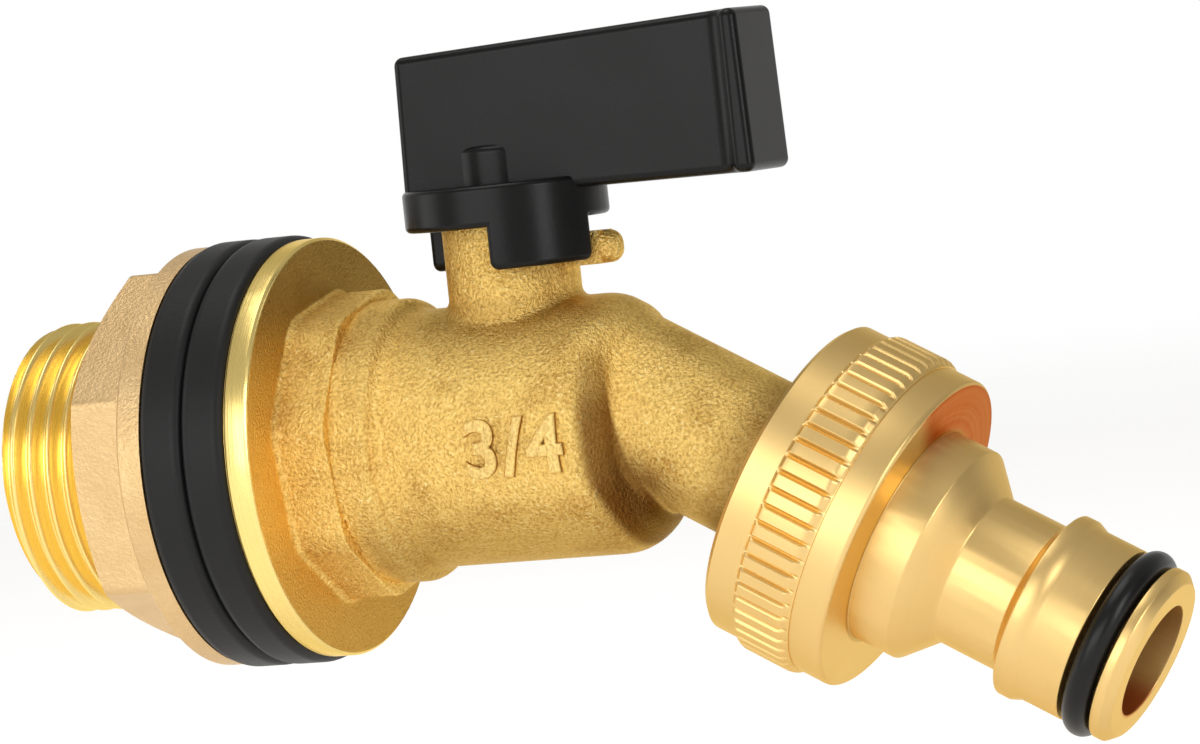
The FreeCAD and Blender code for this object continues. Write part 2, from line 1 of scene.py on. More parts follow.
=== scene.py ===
# %% [markdown]
# # Dressing a water butt tap
# The solids of this tap come from a CAD model: a cast brass body with a ball inside, a flanged nut and
# two rubber washers on its threaded shank, a black lever, and a turned connector for a hose clip. They
# stay where they are. This lesson gives them their finishes. Then it makes the forms that the solids only
# stand in for: the shank's screw thread, the soft spanner flats, the rolled knurl and the raised size
# figures. Last come a floor and lights. Lengths are millimetres where nothing else is said; Blender's
# own unit is the metre.

import math

import bmesh
import bpy
import numpy as np
from mathutils import Matrix, Vector


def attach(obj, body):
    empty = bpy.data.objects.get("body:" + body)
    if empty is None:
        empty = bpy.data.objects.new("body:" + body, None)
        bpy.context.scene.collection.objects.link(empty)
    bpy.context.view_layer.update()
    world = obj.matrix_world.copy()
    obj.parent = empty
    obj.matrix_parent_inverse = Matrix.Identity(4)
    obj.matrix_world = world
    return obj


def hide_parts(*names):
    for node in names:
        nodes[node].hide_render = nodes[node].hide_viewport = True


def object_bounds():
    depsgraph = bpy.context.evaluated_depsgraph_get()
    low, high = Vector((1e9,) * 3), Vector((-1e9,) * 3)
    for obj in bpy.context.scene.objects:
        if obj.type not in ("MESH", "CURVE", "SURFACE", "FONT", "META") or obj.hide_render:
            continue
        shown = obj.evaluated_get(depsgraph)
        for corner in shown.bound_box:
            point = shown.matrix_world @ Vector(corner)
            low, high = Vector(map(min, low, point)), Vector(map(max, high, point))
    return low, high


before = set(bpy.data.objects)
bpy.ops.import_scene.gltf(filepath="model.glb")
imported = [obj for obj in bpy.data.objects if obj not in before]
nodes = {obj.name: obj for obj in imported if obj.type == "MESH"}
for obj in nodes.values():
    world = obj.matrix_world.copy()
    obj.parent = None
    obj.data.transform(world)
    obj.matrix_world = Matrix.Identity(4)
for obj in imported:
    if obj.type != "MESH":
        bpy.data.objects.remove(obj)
MM = 0.001
cad_low, cad_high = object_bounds()
print("nodes", len(nodes), "size in mm", [round(v / MM, 1) for v in cad_high - cad_low])

# %% [markdown]
# The camera stands in front of the tap, a little to its spout side and almost level with it. It is tilted
# about its own view, so the shank's axis climbs to the right in the picture. A long lens keeps the
# circles nearly parallel. An aim point, two angles, a tilt and a distance are easier to adjust than a
# matrix, so the matrix is worked out from them.

# %% Camera
AIM = Vector((28.28, 0.0, 4.64)) * MM
SIDE_ANGLE = math.radians(24.24)
RISE_ANGLE = math.radians(2.72)
TILT = math.radians(6.17)
DISTANCE = 529.2 * MM
LENS = 180.0
SENSOR_WIDTH = 36.0
NEAREST, FARTHEST = 10 * MM, 20000 * MM


def add_object(name, data):
    """New object in the scene that holds a mesh, a camera, a light or a text."""
    made = bpy.data.objects.new(name, data)
    bpy.context.scene.collection.objects.link(made)
    return made


back = Vector((
    math.sin(SIDE_ANGLE) * math.cos(RISE_ANGLE),
    -math.cos(SIDE_ANGLE) * math.cos(RISE_ANGLE),
    math.sin(RISE_ANGLE),
))
level_right = Vector((math.cos(SIDE_ANGLE), math.sin(SIDE_ANGLE), 0.0))
level_up = back.cross(level_right)
right = level_right * math.cos(TILT) - level_up * math.sin(TILT)
up = level_right * math.sin(TILT) + level_up * math.cos(TILT)
facing = Matrix((right, up, back)).transposed().to_4x4()

camera = add_object("camera", bpy.data.cameras.new("camera"))
camera.data.lens = LENS
camera.data.sensor_width = SENSOR_WIDTH
camera.data.clip_start = NEAREST
camera.data.clip_end = FARTHEST
camera.matrix_world = Matrix.Translation(AIM + back * DISTANCE) @ facing
bpy.context.scene.camera = camera
print("camera at", [round(v / MM) for v in camera.location])

# %% [markdown]
# A surface is easiest to see as a grid: one parameter runs along it, the other across. This helper takes
# the grid's points as one array and joins neighbours into four-sided faces. Its second parameter goes
# once round, so the last column is joined to the first. The thread, the flats, the collar and the floor
# are made by it.

# %% Grid surfaces


def grid_faces(rows, columns):
    """Corners of cell (i, j) are the points (i or i+1, j or j+1), where j+1 is 0 after the last column."""
    i, j = np.meshgrid(np.arange(rows - 1), np.arange(columns), indexing="ij")
    after = (j + 1) % columns
    corners = [i * columns + j, i * columns + after, (i + 1) * columns + after, (i + 1) * columns + j]
    return np.stack(corners, axis=-1).reshape(-1, 4)


def shade_smooth(mesh):
    mesh.polygons.foreach_set("use_smooth", np.ones(len(mesh.polygons), bool))


def surface_piece(name, points):
    """Mesh object whose points are a (rows, columns, 3) array in metres."""
    mesh = bpy.data.meshes.new(name)
    rows, columns = points.shape[:2]
    mesh.from_pydata(points.reshape(-1, 3).tolist(), [], grid_faces(rows, columns).tolist())
    shade_smooth(mesh)
    print(name, len(mesh.polygons), "faces")
    return add_object(name, mesh)


print("a grid of 3 rows and 4 columns has", len(grid_faces(3, 4)), "faces")

# %% [markdown]
# Shader maths reads better as arithmetic than as a list of nodes and links. A Wire is one output socket:
# adding or multiplying Wires adds Math nodes behind the scenes, and its node method makes any other node
# from its type, its settings and what goes into its sockets.

# %% Shader arithmetic


class Wire:
    """One output socket of a node tree, with arithmetic."""

    def __init__(self, tree, socket):
        self.tree = tree
        self.socket = socket

    def node(self, kind, settings, sockets, output=0):
        """New node: its settings are set first, then values or Wires go into its sockets."""
        made = self.tree.nodes.new(kind)
        for key, value in settings.items():
            setattr(made, key, value)
        for key, value in sockets.items():
            if isinstance(value, Wire):
                self.tree.links.new(value.socket, made.inputs[key])
            else:
                made.inputs[key].default_value = value
        return Wire(self.tree, made.outputs[output])

    def math(self, operation, first, second):
        return self.node("ShaderNodeMath", {"operation": operation}, {0: first, 1: second})

    def __add__(self, other):
        return self.math("ADD", self, other)

    def __radd__(self, other):
        return self.math("ADD", other, self)

    def __sub__(self, other):
        return self.math("SUBTRACT", self, other)

    def __rsub__(self, other):
        return self.math("SUBTRACT", other, self)

    def __mul__(self, other):
        return self.math("MULTIPLY", self, other)

    def __pow__(self, power):
        return self.math("POWER", self, power)

    def step(self, low, high):
        """0 below low, 1 above high, and a smooth S between them."""
        sockets = {"Value": self, "From Min": low, "From Max": high}
        return self.node("ShaderNodeMapRange", {"interpolation_type": "SMOOTHSTEP"}, sockets)

    def band(self, rise, fall):
        """Grows from 0 to 1 across the limits of rise, and goes back to 0 across those of fall."""
        return self.step(*rise) * (1 - self.step(*fall))

    def vector_math(self, operation, *others, output=0):
        """Vector operation on this Wire and others; a single number comes from output 1."""
        sockets = dict(enumerate((self,) + others))
        return self.node("ShaderNodeVectorMath", {"operation": operation}, sockets, output)

    def blend(self, first, second):
        """Colour that goes from first to second as this Wire goes from 0 to 1."""
        return self.node("ShaderNodeMix", {"data_type": "RGBA"}, {0: self, 6: first, 7: second}, output=2)


def colour(red, green, blue):
    return (red, green, blue, 1.0)


print("a Wire can", [name for name in vars(Wire) if not name.startswith("_")])

# %% [markdown]
# A finish is one material. All finishes here are worked out from the place on the object, so they need no
# pictures and no unwrapping: clouds of noise give uneven colour and grain, and noise along a single
# direction gives the marks of a lathe tool.

# %% Finishes


class Finish:
    """A material with one Principled shader, and the place on the object in millimetres."""

    def __init__(self, name):
        self.material = bpy.data.materials.new(name)
        self.material.use_nodes = True
        self.tree = self.material.node_tree
        self.shader = self.tree.nodes["Principled BSDF"]
        metres = Wire(self.tree, self.tree.nodes.new("ShaderNodeTexCoord").outputs["Object"])
        sockets = {0: metres, "Scale": 1 / MM}
        self.place = metres.node("ShaderNodeVectorMath", {"operation": "SCALE"}, sockets)

    def axes(self):
        """The place's x, y and z as three Wires."""
        split = self.place.node("ShaderNodeSeparateXYZ", {}, {0: self.place})
        return [Wire(self.tree, output) for output in split.socket.node.outputs]

    def noise(self, per_mm, detail=2.0, roughness=0.5):
        """Cloudy noise in space, 0 to 1, with a number of lumps per millimetre."""
        sockets = {"Vector": self.place, "Scale": per_mm, "Detail": detail, "Roughness": roughness}
        return self.place.node("ShaderNodeTexNoise", {}, sockets)

    def lines(self, along, per_mm):
        """Noise that changes only along one Wire, as tool marks do."""
        sockets = {"W": along, "Scale": per_mm, "Detail": 2.0}
        return along.node("ShaderNodeTexNoise", {"noise_dimensions": "1D"}, sockets)

    def set(self, **sockets):
        """Puts values or Wires into the shader, with an underscore for each space of a socket's name."""
        for key, value in sockets.items():
            socket = self.shader.inputs[key.replace("_", " ")]
            if isinstance(value, Wire):
                self.tree.links.new(value.socket, socket)
            else:
                socket.default_value = value

    def bump(self, height, depth_mm):
        """Normal from a height of 0 to 1 that stands for a depth in millimetres."""
        sockets = {"Height": height, "Distance": depth_mm * MM, "Strength": 1.0}
        return height.node("ShaderNodeBump", {}, sockets)


print("a Finish has", [name for name in vars(Finish) if not name.startswith("_")])

# %% [markdown]
# The spout leaves the barrel at an angle, and the connector sits on it. Many places are easier to say
# along the spout and from its axis than in x, y and z. A dot product gives the distance along the axis,
# and what is left of the reach gives the distance from it. One function does this for a shader, the other
# for a mesh.

# %% Place on the spout
SPOUT_START = (31.3, 0.0, 2.27)
SPOUT_FALL = math.radians(30.0)
SPOUT_DIRECTION = (math.cos(SPOUT_FALL), 0.0, -math.sin(SPOUT_FALL))
SPOUT_UP = (math.sin(SPOUT_FALL), 0.0, math.cos(SPOUT_FALL))


def spout_wires(finish):
    """Wires for the distance along the spout, above the spout's axis and from that axis."""
    from_start = finish.place.vector_math("SUBTRACT", SPOUT_START)
    along = from_start.vector_math("DOT_PRODUCT", SPOUT_DIRECTION, output=1)
    above = from_start.vector_math("DOT_PRODUCT", SPOUT_UP, output=1)
    reach = from_start.vector_math("LENGTH", output=1)
    return along, above, (reach * reach - along * along) ** 0.5


def spout_distances(points):
    """Distances along the spout and from its axis, for an (n, 3) array in millimetres."""
    from_start = points - np.array(SPOUT_START)
    along = from_start @ np.array(SPOUT_DIRECTION)
    across = from_start - along[:, None] * np.array(SPOUT_DIRECTION)
    return along, np.linalg.norm(across, axis=1)


print("spout runs along", [round(v, 3) for v in SPOUT_DIRECTION])

# %% [markdown]
# The body is sand cast, and its colour is painted browner where little light gets in, as painted shade.
# That is the case at the barrel's end beside the spout, on the spout next to the collar, along the
# undersides and a little on the barrel's top. Each mask is a product of smooth steps, and each pair of
# numbers holds a step's limits.

# %% Painted shade on the casting
END_X, END_TOP_Z, SPOUT_ROOT_R = (31.2, 32.5), (1.0, 8.0), (7.45, 7.9)
END_LEAN, END_LEAN_Z = 1.5, (-10.0, -3.0)
BY_COLLAR_ALONG, SPOUT_SKIN_R = (10.0, 14.5), (7.6, 8.0)
BELLY_Z, BELLY_START_X, BELLY_END_X = (-11.0, -2.0), (7.4, 9.0), (31.0, 34.0)
SPOUT_BELLY_ABOVE, SPOUT_BELLY_X = (-7.0, -1.0), (33.0, 35.0)
TOP_START_Z, TOP_END_Z = (5.5, 11.0), (11.5, 12.5)
TOP_START_X, TOP_END_X = (7.4, 8.2), (30.0, 34.0)
# How strongly each mask paints shade into the casting's colour.
END_SHARE, COLLAR_SHARE, TOP_SHARE, BELLY_SHARE = 0.85, 0.6, 0.2, 0.45


def painted_casting_shade(finish, x, z):
    """How much shade is painted on the casting, as a weighted sum of masks."""
    along, above, from_spout = spout_wires(finish)
    leaning_x = x + z.step(*END_LEAN_Z) * END_LEAN
    barrel_end = leaning_x.step(*END_X) * (1 - z.step(*END_TOP_Z)) * from_spout.step(*SPOUT_ROOT_R)
    by_collar = along.step(*BY_COLLAR_ALONG) * (1 - from_spout.step(*SPOUT_SKIN_R))
    barrel_belly = (1 - z.step(*BELLY_Z)) * x.band(BELLY_START_X, BELLY_END_X)
    spout_belly = x.step(*SPOUT_BELLY_X) * (1 - above.step(*SPOUT_BELLY_ABOVE))
    barrel_top = z.band(TOP_START_Z, TOP_END_Z) * x.band(TOP_START_X, TOP_END_X)
    corners = barrel_end * END_SHARE + by_collar * COLLAR_SHARE + barrel_top * TOP_SHARE
    return corners + (barrel_belly + spout_belly) * BELLY_SHARE


print("shares of the dark corners", END_SHARE, COLLAR_SHARE, TOP_SHARE, BELLY_SHARE)

# %% [markdown]
# Molten brass takes on the grain of the sand, so the casting glitters in tiny facets; the brightest specks
# of the grain are painted glints. The shank and the flange's rim were turned afterwards and are smooth and
# yellow. One material holds both, and masks say where each one is. The raised figures have painted shade
# at their foot and a painted highlight on their top, and the flange's face has painted light in its
# middle and painted shade towards its bottom and, darker, towards its top.

# %% Cast and machined brass of the body
SHANK_END_X = -25.8
FLANGE_RIM_R = 18.55
FLANGE_FRONT_X = 2.4
BARREL_R = 11.55
RIM_R, RIM_FRONT_X = (FLANGE_RIM_R, FLANGE_RIM_R + 0.1), (FLANGE_FRONT_X, FLANGE_FRONT_X + 0.2)
SHANK_X = (-0.2, 0.0)
PATCH_DIRT, PATCH_DIRT_SHARE = (0.46, 0.76), 0.35
GRAIN_DIRT, GRAIN_DIRT_SHARE = (0.58, 0.32), 0.6
# Where the grain's brightest specks are painted as glints.
GRAIN_GLINT = (0.58, 0.70)
CAST_ROUGH, CAST_ROUGH_SPREAD = 0.25, 0.24
TURNED_ROUGH, TURNED_ROUGH_SPREAD = 0.22, 0.12
GRAIN_HEIGHT, PATCH_HEIGHT, TOOL_HEIGHT = 0.8, 0.2, 0.05
MARK_START_X, MARK_END_X, MARK_FRONT_Y = (18.5, 19.5), (29.5, 30.0), (-9.6, -9.2)
MARK_FOOT_R = (BARREL_R + 0.01, BARREL_R + 0.04)
MARK_TOP_R = (BARREL_R + 0.20, BARREL_R + 0.34)
# How much painted shade darkens the figures' foot, and how much painted highlight lightens their top.
MARK_FOOT_SHADE, MARK_TOP_HIGHLIGHT = 0.8, 0.3
FACE_SHARE = 0.75
FACE_X = ((0.0, 0.1), (FLANGE_FRONT_X + 0.02, FLANGE_FRONT_X + 0.12))
FACE_LOW_Z, FACE_HIGH_Z = (-15.0, -3.0), (2.0, 15.0)
CAST_YELLOW, CAST_BROWN = colour(0.95, 0.66, 0.20), colour(0.44, 0.21, 0.035)
# Colours of the painted glints in the grain and of the painted shade on the casting.
PAINTED_GLINT, CASTING_SHADE_BROWN = colour(1.0, 0.84, 0.42), colour(0.20, 0.085, 0.016)
# Colour of the painted highlight on the figures' top.
MARK_HIGHLIGHT_YELLOW = colour(1.0, 0.80, 0.36)
# Colours of the painted light and shade on the flange's face: shaded low, lit in the middle, darkest high.
FACE_LOW_SHADE, FACE_LIT_MIDDLE = colour(0.56, 0.29, 0.05), colour(0.95, 0.58, 0.12)
FACE_HIGH_SHADE = colour(0.16, 0.07, 0.012)
TURNED_LIGHT, TURNED_DARK = colour(0.97, 0.77, 0.30), colour(0.92, 0.67, 0.21)
EDGE_TINT = colour(1.0, 0.86, 0.52)


def cast_colour(finish, grain, patches):
    """Yellow brass: dirt and painted glints in its grain, painted shade, and painted light and shade on
    figures and face.
    """
    x, y, z = finish.axes()
    from_axis = (y * y + z * z) ** 0.5
    dirt = patches.step(*PATCH_DIRT) * PATCH_DIRT_SHARE + grain.step(*GRAIN_DIRT) * GRAIN_DIRT_SHARE
    cast = dirt.blend(CAST_YELLOW, CAST_BROWN)
    # Painted glints: the brightest specks of the grain turn pale yellow.
    cast = grain.step(*GRAIN_GLINT).blend(cast, PAINTED_GLINT)
    # The raised figures get painted shade at their foot and a painted highlight on their top.
    by_mark = x.band(MARK_START_X, MARK_END_X) * (1 - y.step(*MARK_FRONT_Y))
    mark_foot = by_mark * from_axis.step(*MARK_FOOT_R)
    mark_top = mark_foot * from_axis.step(*MARK_TOP_R)
    corners = painted_casting_shade(finish, x, z) + mark_foot * MARK_FOOT_SHADE - mark_top * MARK_FOOT_SHADE
    cast = (mark_top * MARK_TOP_HIGHLIGHT).blend(cast, MARK_HIGHLIGHT_YELLOW)
    # Painted shade: the colour turns dark brown where the masks say little light gets in, and at the figures'
    # foot.
    cast = corners.blend(cast, CASTING_SHADE_BROWN)
    # Painted light and shade on the flange's face: lit in its middle, shaded towards its bottom and darker
    # towards its top.
    face_light_and_shade = z.step(*FACE_LOW_Z).blend(FACE_LOW_SHADE, FACE_LIT_MIDDLE)
    face_light_and_shade = z.step(*FACE_HIGH_Z).blend(face_light_and_shade, FACE_HIGH_SHADE)
    return (x.band(*FACE_X) * FACE_SHARE).blend(cast, face_light_and_shade)


def body_brass():
    """Cast brass, and machined brass behind the flange's rear face and on its rim."""
    finish = Finish("body_brass")
    x, y, z = finish.axes()
    from_axis = (y * y + z * z) ** 0.5
    rim = from_axis.step(*RIM_R) * (1 - x.step(*RIM_FRONT_X))
    turned = 1 - (1 - rim) * x.step(*SHANK_X)
    grain = finish.noise(per_mm=3.4, detail=3.0, roughness=0.7)
    patches = finish.noise(per_mm=0.22, detail=3.0)
    tool_marks = finish.lines(x + from_axis, per_mm=7.0)
    bright = tool_marks.blend(TURNED_LIGHT, TURNED_DARK)
    base = turned.blend(cast_colour(finish, grain, patches), bright)
    cast_rough = CAST_ROUGH + grain * CAST_ROUGH_SPREAD
    turned_rough = TURNED_ROUGH + tool_marks * TURNED_ROUGH_SPREAD
    rough = cast_rough * (1 - turned) + turned_rough * turned
    cast_height = grain * GRAIN_HEIGHT + patches * PATCH_HEIGHT
    height = cast_height * (1 - turned) + tool_marks * turned * TOOL_HEIGHT
    bump = finish.bump(height, depth_mm=0.34)
    finish.set(Base_Color=base, Roughness=rough, Metallic=1.0, Normal=bump, Specular_Tint=EDGE_TINT)
    return finish.material


body_finish = body_brass()
print(body_finish.name, len(body_finish.node_tree.nodes), "nodes")

# %% [markdown]
# The nut is cast too, but in a paler brass that was left dull. Its grain is coarser and its shine is
# soft.

# %% Pale cast brass of the nut
NUT_DARK, NUT_LIGHT = colour(0.57, 0.36, 0.15), colour(0.85, 0.63, 0.34)
NUT_ROUGH, NUT_ROUGH_SPREAD = 0.34, 0.25


def nut_brass():
    """Two pale tones mixed by patches and grain, and a bump of the same grain."""
    finish = Finish("nut_brass")
    grain = finish.noise(per_mm=2.6, detail=3.0, roughness=0.65)
    patches = finish.noise(per_mm=0.3)
    base = (patches * 0.5 + grain * 0.5).blend(NUT_DARK, NUT_LIGHT)
    bump = finish.bump(grain * GRAIN_HEIGHT + patches * PATCH_HEIGHT, depth_mm=0.14)
    rough = NUT_ROUGH + grain * NUT_ROUGH_SPREAD
    finish.set(Base_Color=base, Roughness=rough, Metallic=1.0, Normal=bump)
    return finish.material


nut_finish = nut_brass()
print(nut_finish.name)

# %% [markdown]
# The connector comes from a lathe. Fine rings run round it, so its shine is drawn out along its length
# and it looks satin. The rings follow the distance along the spout plus a share of the distance from the
# spout's axis: the first draws them on the tubes, the second on the flat end faces. Brass that mirrors
# brass turns reddish, so a reddish reflection is painted on the far part of the collar's front face and
# low inside the nose. The same face has painted shade in the corner next to the nose.

# %% Turned brass of the connector
COLLAR_FRONT = 28.05
NOSE_BASE_R = 9.9
NOSE_END = 52.45
FACE_RISE = (COLLAR_FRONT - 0.10, COLLAR_FRONT - 0.02)
FACE_FALL = (COLLAR_FRONT, COLLAR_FRONT + 0.2)
# Where the painted reddish reflection lies, on the collar's front face and low inside the nose.
COPPER_FAR_SHARE, COPPER_ABOVE = 0.8, (3.0, 7.0)
MOUTH_ALONG, MOUTH_R, MOUTH_BELOW = (NOSE_END - 5.0, NOSE_END - 1.5), (5.0, 5.6), (-2.0, -4.5)
# Where and how strongly shade is painted in the corner between the collar's face and the nose.
GAP_R, GAP_SHARE = (NOSE_BASE_R + 0.25, NOSE_BASE_R + 0.45), 0.5
SATIN_DARK, SATIN_LIGHT = colour(0.73, 0.495, 0.178), colour(0.84, 0.60, 0.26)
# Colours of the painted reddish reflection and of the painted shade in the corner next to the nose.
COPPER_REFLECTION, GAP_SHADE_BROWN = colour(0.45, 0.05, 0.008), colour(0.40, 0.22, 0.06)
FACE_RING_SHARE = 0.37
RING_TONE, CLOUD_TONE = 0.2, 0.8
COPPER_LEAST, COPPER_SPREAD = 0.85, 0.15
SATIN_ROUGH, SATIN_ROUGH_SPREAD = 0.34, 0.06


def turned_brass():
    """Satin brass with lathe rings, a painted reddish reflection and painted shade next to the nose."""
    finish = Finish("turned_brass")
    along, above, from_axis = spout_wires(finish)
    far_side = finish.axes()[1]
    rings = finish.lines(along + from_axis * FACE_RING_SHARE, per_mm=5.0)
    cloud = finish.noise(per_mm=0.12)
    base = (rings * RING_TONE + cloud * CLOUD_TONE).blend(SATIN_DARK, SATIN_LIGHT)
    on_face = along.band(FACE_RISE, FACE_FALL)
    # Painted reddish reflection on the far part of the collar's front face and low inside the nose.
    far_above = above + far_side * COPPER_FAR_SHARE
    copper_reflection = on_face * far_above.step(*COPPER_ABOVE) * (COPPER_LEAST + rings * COPPER_SPREAD)
    mouth_reflection = along.step(*MOUTH_ALONG) * (1 - from_axis.step(*MOUTH_R)) * above.step(*MOUTH_BELOW)
    base = (copper_reflection + mouth_reflection).blend(base, COPPER_REFLECTION)
    # Painted shade in the corner of the collar's front face next to the nose.
    gap_shade = on_face * (1 - from_axis.step(*GAP_R))
    base = (gap_shade * GAP_SHARE).blend(base, GAP_SHADE_BROWN)
    rough = SATIN_ROUGH + rings * SATIN_ROUGH_SPREAD + cloud * SATIN_ROUGH_SPREAD
    bump = finish.bump(rings, depth_mm=0.003)
    finish.set(Base_Color=base, Roughness=rough, Metallic=1.0, Normal=bump, Specular_Tint=EDGE_TINT)
    return finish.material


connector_finish = turned_brass()
print(connector_finish.name)

# %% [markdown]
# The lever is moulded in black plastic with a semi-gloss skin; a very fine, shallow grain keeps its
# highlights soft. The tank washers are duller rubber, and the small ring on the nose is greased and
# shines.

# %% Black plastic and rubber


def grey(tone):
    return colour(tone, tone, tone)


def black_finish(name, tone, shine, rough, spread, grain_per_mm, depth_mm):
    """Black skin: tone is how light it is, shine how much it mirrors, rough and spread how sharply."""
    finish = Finish(name)
    grain = finish.noise(grain_per_mm)
    cloud = finish.noise(per_mm=0.15)
    base = cloud.blend(grey(tone * 0.8), grey(tone * 1.2))
    bump = finish.bump(grain, depth_mm)
    finish.set(Base_Color=base, Roughness=rough + cloud * spread, Normal=bump, Specular_IOR_Level=shine)
    return finish.material


lever_finish = black_finish(
    "lever_plastic", tone=0.005, shine=0.18, rough=0.22, spread=0.12, grain_per_mm=4.0, depth_mm=0.006
)
washer_finish = black_finish(
    "washer_rubber", tone=0.008, shine=0.24, rough=0.40, spread=0.16, grain_per_mm=3.0, depth_mm=0.02
)
ring_finish = black_finish(
    "ring_rubber", tone=0.005, shine=0.25, rough=0.26, spread=0.10, grain_per_mm=3.0, depth_mm=0.004
)
print("black finishes", lever_finish.name, washer_finish.name, ring_finish.name)

# %% [markdown]
# The pieces inside are seen only through the bores or when the tap is taken apart: white plastic seats, a
# plated ball and a zinc plated screw. They get plain finishes of their own with the same small
# variations.

# %% Finishes of the inner pieces
SEAT_DARK, SEAT_LIGHT = colour(0.74, 0.74, 0.71), colour(0.84, 0.84, 0.82)
BALL_DARK, BALL_LIGHT = colour(0.66, 0.66, 0.68), colour(0.78, 0.78, 0.80)
SCREW_DARK, SCREW_LIGHT = colour(0.45, 0.45, 0.47), colour(0.58, 0.58, 0.60)


def plain_finish(name, dark, light, rough, metallic):
    """Even finish between two colours, with soft clouds and a faint grain."""
    finish = Finish(name)
    base = finish.noise(per_mm=0.4).blend(dark, light)
    grain = finish.noise(per_mm=4.0)
    bump = finish.bump(grain, depth_mm=0.004)
    finish.set(Base_Color=base, Roughness=rough + grain * 0.08, Metallic=metallic, Normal=bump)
    return finish.material


seat_finish = plain_finish("seat_plastic", SEAT_DARK, SEAT_LIGHT, rough=0.35, metallic=0.0)
ball_finish = plain_finish("ball_plate", BALL_DARK, BALL_LIGHT, rough=0.08, metallic=1.0)
screw_finish = plain_finish("screw_steel", SCREW_DARK, SCREW_LIGHT, rough=0.25, metallic=1.0)
print("inner finishes", seat_finish.name, ball_finish.name, screw_finish.name)

# %% [markdown]
# A tap is put together from pieces that were each made and finished on their own, so every solid wears a
# single finish. A table says which one, because it can be read and changed at a glance.

# %% Finishes on the nodes
NODE_FINISHES = {
    "tap_body": body_finish,
    "lock_nut": nut_finish,
    "outer_tank_washer": washer_finish,
    "inner_tank_washer": washer_finish,
    "front_seat_ring": seat_finish,
    "rear_seat_ring": seat_finish,
    "seat_retainer": connector_finish,
    "valve_ball": ball_finish,
    "valve_stem": connector_finish,
    "stem_thrust_washer": seat_finish,
    "lower_stem_o_ring": ring_finish,
    "upper_stem_o_ring": ring_finish,
    "lever_handle": lever_finish,
    "handle_screw": screw_finish,
    "hose_connector": connector_finish,
    "connector_washer": washer_finish,
    "nose_o_ring": ring_finish,
}


def wear(piece, finish):
    """The piece's only material is this finish."""
    piece.data.materials.clear()
    piece.data.materials.append(finish)


for node_name, finish in NODE_FINISHES.items():
    wear(nodes[node_name], finish)
print("finished", len(NODE_FINISHES), "nodes")

# %% [markdown]
# The shank's free end carries a pipe thread. In the solid it is a plain cylinder at the crests' radius,
# so the grooves have to be cut into it. A thread is a height field on a cylinder: how deep the surface
# lies depends only on how far a point is along the axis plus its share of a turn. A cosine has the
# rounded crests and roots of a pipe thread. The end is chamfered by keeping the surface below a cone.

# %% Inlet thread
CREST_R = 13.22
GROOVE_DEPTH = 1.16
PITCH = 25.4 / 14
CHAMFER = 0.7
THREAD_END_X = -17.3
PITCH_R = CREST_R - GROOVE_DEPTH / 2
BORE_R = 9.6
THREAD_ROWS, THREAD_COLUMNS, END_FACE_ROWS = 180, 240, 4
THREAD_CREASE = 50


def round_steps(count):
    """Angles of a full turn in equal steps, without the last one, which is the first again."""
    return np.arange(count) * 2 * np.pi / count


def round_x_axis(x, radius, angle):
    """Points in metres at a distance along X, a radius and an angle from +Y towards +Z."""
    along = np.broadcast_to(x, radius.shape)
    return np.stack([along, radius * np.cos(angle), radius * np.sin(angle)], axis=-1) * MM


def inlet_thread():
    """Radius = crest - depth x (1 - cos(turns)) / 2, where turns = x / pitch + angle / full turn. The first
    rows close the end face from the bore outwards and the last row closes the thread at the nut."""
    angle = round_steps(THREAD_COLUMNS)
    x = np.linspace(SHANK_END_X, THREAD_END_X, THREAD_ROWS)[:, None]
    turns = x / PITCH + angle / (2 * np.pi)
    radius = CREST_R - GROOVE_DEPTH * (1 - np.cos(2 * np.pi * turns)) / 2
    radius = np.minimum(radius, CREST_R - CHAMFER + x - SHANK_END_X)
    share = np.arange(END_FACE_ROWS)[:, None] / END_FACE_ROWS
    end_face = BORE_R + (radius[0] - BORE_R) * share
    radius = np.vstack([end_face, radius, np.full((1, THREAD_COLUMNS), PITCH_R)])
    x = np.vstack([np.full_like(share, SHANK_END_X), x, [[THREAD_END_X]]])
    return round_x_axis(x, radius, angle)


def crease(piece, degrees):
    """Edges sharper than an angle stay sharp; the rest shade smoothly."""
    piece.data.set_sharp_from_angle(angle=math.radians(degrees))


thread = surface_piece("inlet_thread", inlet_thread())
crease(thread, THREAD_CREASE)
wear(thread, body_finish)
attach(thread, "tap")

# %% [markdown]
# The rest of the casting is a copy of the body's solid. A solid's mesh is loose triangles, so the copy's
# doubled points are merged first; then its sharp edges are known, and a small bevel rounds them as a sand
# mould does. These helpers copy a node, drop some of its faces and soften its edges.

# %% Copies of solids
MERGE_DISTANCE = 0.002 * MM
BEVEL_SEGMENTS = 3


def merged_copy(node_name, name):
    """Copy of a node's mesh as a new object, with its doubled points merged."""
    mesh = nodes[node_name].data.copy()
    mesh.name = name
    shape = bmesh.new()
    shape.from_mesh(mesh)
    bmesh.ops.remove_doubles(shape, verts=shape.verts, dist=MERGE_DISTANCE)
    shape.to_mesh(mesh)
    shape.free()
    shade_smooth(mesh)
    return add_object(name, mesh)


def drop_faces(piece, doomed):
    """Removes the faces that a boolean array marks."""
    shape = bmesh.new()
    shape.from_mesh(piece.data)
    shape.faces.ensure_lookup_table()
    bmesh.ops.delete(shape, geom=[shape.faces[k] for k in np.flatnonzero(doomed)], context="FACES")
    shape.to_mesh(piece.data)
    shape.free()
    print(piece.name, len(piece.data.polygons), "faces")


def face_centres(piece):
    """Face centres in millimetres, as an (n, 3) array."""
    centres = np.empty(3 * len(piece.data.polygons))
    piece.data.polygons.foreach_get("center", centres)
    return centres.reshape(-1, 3) / MM


